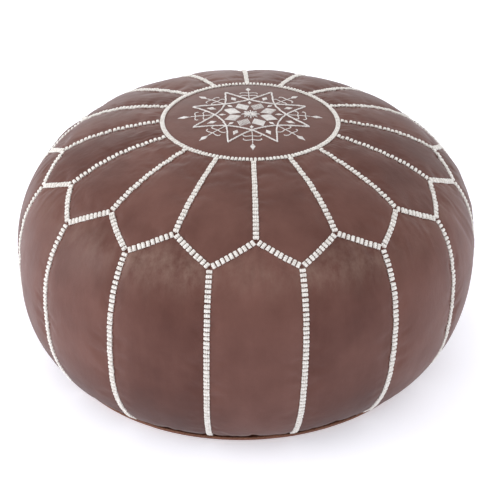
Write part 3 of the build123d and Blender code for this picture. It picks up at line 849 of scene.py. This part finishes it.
def satin_leaf(middle, long, wide, threads, angle, draw):
    """Lozenge filled with strands that run along it, the longest in its middle."""
    v = (np.arange(threads) + 0.5) / threads * 2 - 1
    half = long * (1 - 0.92 * np.abs(v))
    start = np.stack([wide * v, middle - half], 1)
    end = np.stack([wide * v * 0.7, middle + half], 1)
    return sewn(turned(start, angle), turned(end, angle), 2.5 * wide / threads, draw, 0.25)


def plan_point(radius, degrees):
    """Place in plan at a radius and an angle from the front."""
    return (radius * math.sin(math.radians(degrees)), -radius * math.cos(math.radians(degrees)))


needle = np.random.default_rng(5)
silk = []
for arm in range(8):
    turn = math.radians(45 * arm)
    tip_turn = turn + math.radians(22.5)
    corners = np.array([plan_point(STAR_TIP, 45 * arm + 22.5), plan_point(STAR_CROSSING, 45 * arm + 45),
                        plan_point(STAR_CROSSING, 45 * arm + 90), plan_point(STAR_TIP, 45 * arm + 112.5)])
    first, last = corners[1] - corners[0], corners[3] - corners[2]
    curve = clamped_spline(corners, first / np.linalg.norm(first), last / np.linalg.norm(last), 120)
    silk.append(stem_stitched(curve, STAR_SILK, needle))
    silk.append(stem_stitched(turned([(0, STAR_CROSSING), (0, ARROW_NECK)], turn), ARROW_SILK, needle))
    silk.append(satin_leaf((ARROW_NECK + ARROW_TIP) / 2, (ARROW_TIP - ARROW_NECK) / 2, ARROW_HALF, 7,
                           turn, needle))
    for radius in ARROW_BARS:
        r = radius + needle.normal(0, 0.0004)
        bow = np.array([(-BAR_HALF * 0.93, r - BAR_HOOK), (-BAR_HALF, r - 0.5 * BAR_HOOK),
                        (-0.9 * BAR_HALF, r), (0, r - 0.0004), (0.9 * BAR_HALF, r),
                        (BAR_HALF, r - 0.5 * BAR_HOOK), (BAR_HALF * 0.93, r - BAR_HOOK)])
        bow = clamped_spline(bow, (-0.3, 1), (-0.3, -1), 60)
        silk.append(stem_stitched(turned(bow, turn), ARROW_SILK, needle))
    silk.append(satin_leaf(*LEAF, tip_turn, needle))
    silk.append(satin_leaf(*BUD, turn, needle))
    open_work = arm in OPEN_LOZENGES
    silk.append(satin_diamond(PETAL_MIDDLE, PETAL_LONG, PETAL_WIDE, 9 if open_work else 12,
                              1 if arm % 2 else -1, 0.62 if open_work else 1.12, tip_turn, needle))
rays = np.arange(16) * (math.pi / 8)
ray_end = DAISY * np.where(np.arange(16) % 2, DAISY_SHORT, 1)[:, None]
ray_line = np.stack([np.sin(rays), -np.cos(rays)], 1)
silk.append(sewn(ray_line * 0.0008, ray_line * ray_end, RAY_WIDTH, needle))
embroidery_silk = thread_material("embroidery_silk", (0.82, 0.79, 0.77), (0.62, 0.58, 0.56), 0.42)
thread_piece("medallion_silk", silk, "medallion_embroidery", embroidery_silk)

# ---------------------------------------------------------------------------------------------
# Base: two half discs of thicker tan leather, turned up at the rim and raised in the middle, so that
# the pouf stands on a ring and the zip stays clear of the floor. The zip's opening is cut in them.
# ---------------------------------------------------------------------------------------------
RIM_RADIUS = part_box("base_panel_front")[1].x
RECESS_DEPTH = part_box("zip_stitching")[1].z
BASE_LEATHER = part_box("base_panel_front")[1].z - RECESS_DEPTH
OPENING_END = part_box("zip_top_stops")[1].x
OPENING_SIDE = 0.006
RIM_ROUND, FOOT_WIDTH, RECESS_RUN, RECESS_ROUND = 0.006, 0.024, 0.030, 0.030
CORNER_REACH = 1.02             # how far past the opening's end its columns would go, as a share
FOOT_MIDDLE, FOOT_SPREAD = 0.221, 0.012    # ring that the floor has rubbed
BASE_COLUMNS, BASE_ROWS = 160, 70
BASE_STEP = 0.0015              # between the points of its section


def rounded_path(corners, radii, step):
    """Straight runs between corners, with an arc of the given radius at each inner corner, as points
    about one step apart: an arc starts its radius times the tangent of half the turn before it."""
    corners = np.asarray(corners, float)
    pieces, at = [], corners[0]
    for before, corner, after, radius in zip(corners[:-2], corners[1:-1], corners[2:], radii):
        a, b = (corner - before) / np.linalg.norm(corner - before), (after - corner)
        b = b / np.linalg.norm(b)
        turn = math.acos(np.clip(a @ b, -1, 1))
        side = np.sign(a[0] * b[1] - a[1] * b[0])
        start = corner - a * radius * math.tan(turn / 2)
        centre = start + side * radius * np.array([-a[1], a[0]])
        t = np.linspace(0, turn, max(3, int(turn * radius / step) + 2))[:, None]
        arc = centre + radius * (a * np.sin(t) - side * np.array([-a[1], a[0]]) * np.cos(t))
        run = np.linspace(0, 1, max(2, int(np.linalg.norm(start - at) / step) + 1))[:-1, None]
        pieces += [at + (start - at) * run, arc[:-1]]
        at = arc[-1]
    run = np.linspace(0, 1, max(2, int(np.linalg.norm(corners[-1] - at) / step) + 1))[:, None]
    return np.concatenate(pieces + [at + (corners[-1] - at) * run])


base_profile = rounded_path(
    [(RIM_RADIUS, LIP_HEIGHT), (RIM_RADIUS, 0), (RIM_RADIUS - FOOT_WIDTH, 0),
     (RIM_RADIUS - FOOT_WIDTH - RECESS_RUN, RECESS_DEPTH), (0, RECESS_DEPTH)],
    [RIM_ROUND, RECESS_ROUND, RECESS_ROUND], BASE_STEP)
ROUND_ROWS = int(np.argmax(base_profile[:, 1] < 1e-6))


def underside(r):
    """Height of the base's underside at a radius inside its rounded rim."""
    return np.interp(r, base_profile[::-1][:, 0], base_profile[::-1][:, 1])


def base_half(side, draw):
    """Grid of one half: rows go round the rim's curve, then straight from the rim to the edge of the
    opening, each column ending at its own place on that edge."""
    t = np.linspace(0, 1, BASE_COLUMNS + 1)
    t = t - 0.12 * np.sin(2 * math.pi * t) / (2 * math.pi)
    turn = math.pi * t
    rim = np.stack([np.cos(turn), np.sin(turn)], 1)
    edge_x = OPENING_END * np.clip(CORNER_REACH * np.cos(turn), -1, 1)
    edge_y = OPENING_SIDE * np.clip(np.sin(turn) / math.sin(math.acos(1 / CORNER_REACH)), 0, 1)
    edge = np.stack([edge_x, edge_y], 1)
    inner = RIM_RADIUS - RIM_ROUND
    share = np.linspace(0, 1, BASE_ROWS)[:, None, None]
    flat = rim * inner * (1 - share) + edge * share
    bend = base_profile[:ROUND_ROWS]
    plan = np.concatenate([rim * bend[:, :1, None], flat])
    z = np.concatenate([np.broadcast_to(bend[:, 1:], (ROUND_ROWS, len(t))),
                        underside(np.linalg.norm(flat, axis=-1))])
    wave = np.clip((np.abs(plan[..., 1]) - 0.02) / 0.03, 0, 1) * np.clip(z / RECESS_DEPTH, 0, 1)
    z = z + 0.0005 * wave * waves(plan[..., 0], 0.05, draw) * waves(plan[..., 1], 0.06, draw)
    points = np.concatenate([plan, z[..., None]], -1)
    points[..., 1] *= side
    return points if side > 0 else points[:, ::-1]


def open_grid_normals(points):
    """Outward direction at each point of a grid with four edges."""
    normal = np.cross(np.gradient(points, axis=0), np.gradient(points, axis=1))
    return normal / np.maximum(np.linalg.norm(normal, axis=-1, keepdims=True), 1e-12)


base_leather = leather_material("base_leather", (0.115, 0.040, 0.022), (0.185, 0.066, 0.037),
                                (0.26, 0.112, 0.068), 0.52)
for side, side_name in ((-1, "front"), (1, "back")):
    outer = base_half(side, np.random.default_rng(11 + side))
    points, faces = closed_shell(outer, open_grid_normals(outer), BASE_LEATHER)
    piece = mesh_piece(f"base_leather_{side_name}", points, faces, base_leather)
    attribute(piece, "tone", 0.5 + 0.1 * side)
    rubbed = np.exp(-(np.linalg.norm(outer[..., :2], axis=-1) - FOOT_MIDDLE) ** 2 / FOOT_SPREAD ** 2)
    attribute(piece, "seam", np.tile(1.6 * rubbed.ravel(), 2))
    stands_for(piece, f"base_panel_{side_name}")

# ---------------------------------------------------------------------------------------------
# Base threads: tan waxed thread. Slanting stitches hold the rim to the lip of the side panels, and
# even running stitches hold the tapes round the opening and close the two short seams beside it.
# ---------------------------------------------------------------------------------------------
tan_thread = thread_material("tan_thread", (0.27, 0.135, 0.075), (0.17, 0.080, 0.045))
RIM_STITCH, TAPE_STITCH = 0.0060, 0.0038   # from one stitch to the next
RIM_THREAD, TAPE_THREAD = 0.0010, 0.0009
stitch_x, stitch_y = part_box("zip_stitching")[1].x - 0.0004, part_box("zip_stitching")[1].y - 0.0004
join_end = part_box("base_join_stitching")[1].x


def running_stitches(start, end, pitch, width, up, draw):
    """Even stitches from start to end on a surface whose outward direction is up."""
    start, end, up = (np.asarray(v, float) for v in (start, end, up))
    count = int(round(np.linalg.norm(end - start) / pitch))
    share = ((np.arange(count) + 0.5) / count)[:, None]
    run = (end - start) / np.linalg.norm(end - start)
    along = run + draw.normal(0, 0.03, (count, 3)) * (1 - np.abs(up))
    along /= np.linalg.norm(along, axis=1, keepdims=True)
    return strands(start + (end - start) * share, along, np.tile(up, (count, 1)),
                   np.full(count, 0.78 * pitch), np.full(count, width),
                   np.full(count, 0.2 * width), np.full(count, 0.9 * width))


rim_count = int(2 * math.pi * RIM_RADIUS / RIM_STITCH)
rim_turn = np.arange(rim_count) * (2 * math.pi / rim_count)
rim_out = np.stack([np.cos(rim_turn), np.sin(rim_turn), np.zeros(rim_count)], 1)
rim_run = np.stack([-np.sin(rim_turn), np.cos(rim_turn), np.full(rim_count, 0.16)], 1)
rim_place = rim_out * (RIM_RADIUS + 0.0004) + (0, 0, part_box("base_seam_thread")[1].z - 0.0006)
rim_stitches = strands(rim_place, rim_run / np.linalg.norm(rim_run, axis=1, keepdims=True), rim_out,
                       np.full(rim_count, 0.8 * RIM_STITCH), np.full(rim_count, RIM_THREAD),
                       np.full(rim_count, 0.0002), np.full(rim_count, 0.0008))
thread_piece("rim_stitches", [rim_stitches], "base_seam_thread", tan_thread)

awl = np.random.default_rng(9)
below = (0, 0, -1)
tape_rows = [running_stitches((-stitch_x, y, RECESS_DEPTH), (stitch_x, y, RECESS_DEPTH), TAPE_STITCH,
                              TAPE_THREAD, below, awl) for y in (-stitch_y, stitch_y)]
tape_rows += [running_stitches((x, -stitch_y, RECESS_DEPTH), (x, stitch_y, RECESS_DEPTH), TAPE_STITCH,
                               TAPE_THREAD, below, awl) for x in (-stitch_x, stitch_x)]
thread_piece("tape_stitches", tape_rows, "zip_stitching", tan_thread)
join_rows = []
for sign in (-1, 1):
    cuts = np.linspace(stitch_x + 0.0015, join_end, 14)
    for a, b in zip(cuts[:-1], cuts[1:]):
        tilt = (underside(b) - underside(a)) / (b - a)
        up = np.array([sign * tilt, 0, -1]) / math.hypot(tilt, 1)
        join_rows.append(running_stitches((sign * a, 0, underside(a)), (sign * b, 0, underside(b)),
                                          b - a, RIM_THREAD, up, awl))
thread_piece("join_stitches", join_rows, "base_join_stitching", tan_thread)

# ---------------------------------------------------------------------------------------------
# Zip: two woven tapes, each with a nylon monofilament coiled along its edge, metal stops at both
# ends, and a slider with a pull tab. The filling goes in through it.
# ---------------------------------------------------------------------------------------------
FILAMENT = 0.00030              # radius of the monofilament
COIL_PITCH = 0.0015
COIL_STEPS = 10                 # points round one turn of the coil


def tube(path, radius, sides, turn_from):
    """Tube along a path: its section is a circle square to the path, set out from a fixed direction."""
    along = np.gradient(path, axis=0)
    along /= np.linalg.norm(along, axis=1, keepdims=True)
    first = np.cross(along, turn_from)
    first /= np.linalg.norm(first, axis=1, keepdims=True)
    second = np.cross(along, first)
    t = np.arange(sides) * (2 * math.pi / sides)
    ring = first[:, None] * np.cos(t)[None, :, None] + second[:, None] * np.sin(t)[None, :, None]
    points = (path[:, None] + radius * ring).reshape(-1, 3)
    caps = np.stack([np.arange(sides)[::-1], (len(path) - 1) * sides + np.arange(sides)])
    return points, [grid_faces(len(path), sides, True)[:, ::-1], caps]


def plain_material(name, colour, dark, scale, roughness, metallic=0.0, relief=0.0):
    """Smooth finish that is a little mottled and worn: two close colours and an uneven gloss."""
    material, tree, shader = node_material(name)
    place = tree.nodes.new("ShaderNodeTexCoord").outputs["Object"]
    noise, maths, ramp, bump = shader_tools(tree, place)
    tree.links.new(ramp(noise(scale, 4), [(0.3, dark), (0.65, colour)]), shader.inputs["Base Color"])
    tree.links.new(maths("ADD", maths("MULTIPLY", noise(3 * scale, 3), 0.25), roughness - 0.12),
                   shader.inputs["Roughness"])
    shader.inputs["Metallic"].default_value = metallic
    if relief:
        tree.links.new(bump(noise(6 * scale, 3), relief, 0.4), shader.inputs["Normal"])
    return material


def woven_material(name, colour, dark, closeness, relief):
    """Plain weave: waves along each of the three axes, closeness radians of them to the metre."""
    material, tree, shader = node_material(name)
    link, new = tree.links.new, tree.nodes.new
    place = new("ShaderNodeTexCoord").outputs["Object"]
    noise, maths, ramp, bump = shader_tools(tree, place)
    heights = []
    for direction in ("X", "Y", "Z"):
        wave = new("ShaderNodeTexWave")
        wave.bands_direction = direction
        wave.inputs["Scale"].default_value = closeness / 20
        wave.inputs["Distortion"].default_value = 0.6
        wave.inputs["Detail"].default_value = 1
        link(place, wave.inputs["Vector"])
        heights.append(wave.outputs["Fac"])
    height = maths("ADD", maths("ADD", heights[0], heights[1]), heights[2])
    shade = maths("ADD", maths("MULTIPLY", height, 0.14), maths("MULTIPLY", noise(30, 4), 0.6))
    link(ramp(shade, [(0.3, dark), (0.7, colour)]), shader.inputs["Base Color"])
    shader.inputs["Roughness"].default_value = 0.85
    shader.inputs["Sheen Weight"].default_value = 0.3
    link(bump(height, relief, 0.6), shader.inputs["Normal"])
    return material


coil_plastic = plain_material("coil_plastic", (0.050, 0.026, 0.018), (0.032, 0.016, 0.011), 200, 0.36)
zip_tape = woven_material("zip_tape", (0.075, 0.040, 0.028), (0.040, 0.020, 0.014), 2400, 0.0002)
zip_metal = plain_material("zip_metal", (0.62, 0.50, 0.33), (0.36, 0.27, 0.16), 160, 0.34, 1.0, 0.0001)
for side_name in ("front", "back"):
    low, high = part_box(f"zip_coil_{side_name}")
    turns_count = int((high.x - low.x - 2 * FILAMENT) / COIL_PITCH)
    t = np.linspace(0, 2 * math.pi * turns_count, turns_count * COIL_STEPS + 1)
    path = np.stack([np.linspace(low.x + FILAMENT, high.x - FILAMENT, len(t)),
                     (low.y + high.y) / 2 + ((high.y - low.y) / 2 - FILAMENT) * np.cos(t),
                     (low.z + high.z) / 2 + ((high.z - low.z) / 2 - FILAMENT) * np.sin(t)], 1)
    points, faces = tube(path, FILAMENT, 5, (1, 0, 0))
    coil = mesh_piece(f"coil_{side_name}", points, faces, coil_plastic)
    stands_for(coil, f"zip_coil_{side_name}")
    bpy.data.objects[f"zip_tape_{side_name}"].material_slots[0].material = zip_tape
for name in ("zip_top_stops", "zip_bottom_stop", "zip_slider", "zip_pull"):
    bpy.data.objects[name].material_slots[0].material = zip_metal

# ---------------------------------------------------------------------------------------------
# Lining bag: plain cotton, sewn from eight gores, which holds the filling and lies slack and creased
# inside the leather. The filling is cotton and cloth waste, packed until it is firm but lumpy.
# ---------------------------------------------------------------------------------------------
LINER = 0.0010
BAG_SLACK = 0.0052              # bag inside the outline of the cover
FILL_SLACK = 0.0025             # filling inside the bag
BAG_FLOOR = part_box("liner_bag")[0].z + 0.0008
BAG_COLUMNS, BAG_ROWS = 192, 110
BAG_CORNER = 0.004              # radius where its side meets its floor


def bag_grid(slack, floor, columns, rows, lumps, draw):
    """Closed sack inside the cover: down from the top along the section moved in by slack, round a
    corner and along the floor to the middle, dented inwards by smooth lumps."""
    fine = np.linspace(0.02, 1, 400) * SKIN_LENGTH
    r = np.interp(fine, section_length, section[:, 0]) - slack * np.interp(
        fine, section_length, section_out[:, 0])
    z = np.interp(fine, section_length, section[:, 1]) - slack * np.interp(
        fine, section_length, section_out[:, 1])
    above_floor = z > floor + BAG_CORNER
    last = r[above_floor][-1]
    path = np.concatenate([np.stack([r, z], 1)[above_floor], [(last - 0.008, floor), (0.006, floor)]])
    path = rounded_path([path[0], *path[1:-2:12], path[-2], path[-1]],
                        [BAG_CORNER] * (len(path[1:-2:12]) + 1), 0.0012)
    length = np.r_[0, np.cumsum(np.linalg.norm(np.diff(path, axis=0), axis=1))]
    s = np.linspace(0, length[-1], rows)[:, None]
    turn = (np.arange(columns) * (2 * math.pi / columns))[None]
    dent = lumps * (0.5 + 0.5 * waves(s, 0.07, draw) * waves(turn * 0.25, 0.08, draw))
    dent = np.clip(dent, 0, None) * np.clip((length[-1] - s) / 0.05, 0, 1) * np.clip(s / 0.05, 0, 1)
    r = np.interp(s, length, path[:, 0]) - 0.7 * dent
    z = np.interp(s, length, path[:, 1]) + 0 * turn
    z = np.where(z > 0.5 * HEIGHT, z - 0.7 * dent, z + 0.4 * dent)
    return settled(np.stack([r * np.sin(turn), -r * np.cos(turn), z], -1))


def closed_bag(grid, thickness=0.0):
    """Sack as closed faces, with a fan at both poles, and an inner wall if it has a thickness."""
    rows, columns = grid.shape[:2]
    layers = [grid] if not thickness else [grid, grid - grid_normals(grid) * thickness]
    points, quads, fans = [], [], []
    for k, layer in enumerate(layers):
        first = len(np.concatenate(points)) if points else 0
        body = grid_faces(rows, columns, True) + first
        top, bottom = first + rows * columns, first + rows * columns + 1
        j = np.arange(columns)
        start, end = first + j, first + (rows - 1) * columns + j
        fan = np.concatenate([np.stack([np.full(columns, top), start, np.roll(start, -1)], -1),
                              np.stack([np.full(columns, bottom), np.roll(end, -1), end], -1)])
        quads.append(body[:, ::-1] if k else body)
        fans.append(fan[:, ::-1] if k else fan)
        points.append(np.concatenate([layer.reshape(-1, 3), [layer[0].mean(0)], [layer[-1].mean(0)]]))
    return np.concatenate(points), [np.concatenate(quads), np.concatenate(fans)]


liner_cotton = woven_material("liner_cotton", (0.72, 0.68, 0.60), (0.58, 0.53, 0.45), 1200, 0.0003)
fill_cotton = plain_material("fill_cotton", (0.78, 0.75, 0.70), (0.60, 0.57, 0.53), 60, 0.9, 0.0, 0.002)
packing = np.random.default_rng(17)
bag = bag_grid(BAG_SLACK, BAG_FLOOR, BAG_COLUMNS, BAG_ROWS, 0.0016, packing)
liner = mesh_piece("liner", *closed_bag(bag, LINER), liner_cotton)
stands_for(liner, "liner_bag")
fill = bag_grid(BAG_SLACK + FILL_SLACK, BAG_FLOOR + FILL_SLACK, BAG_COLUMNS, BAG_ROWS, 0.0060, packing)
filling = mesh_piece("filling", *closed_bag(fill), fill_cotton)
stands_for(filling, "stuffing")
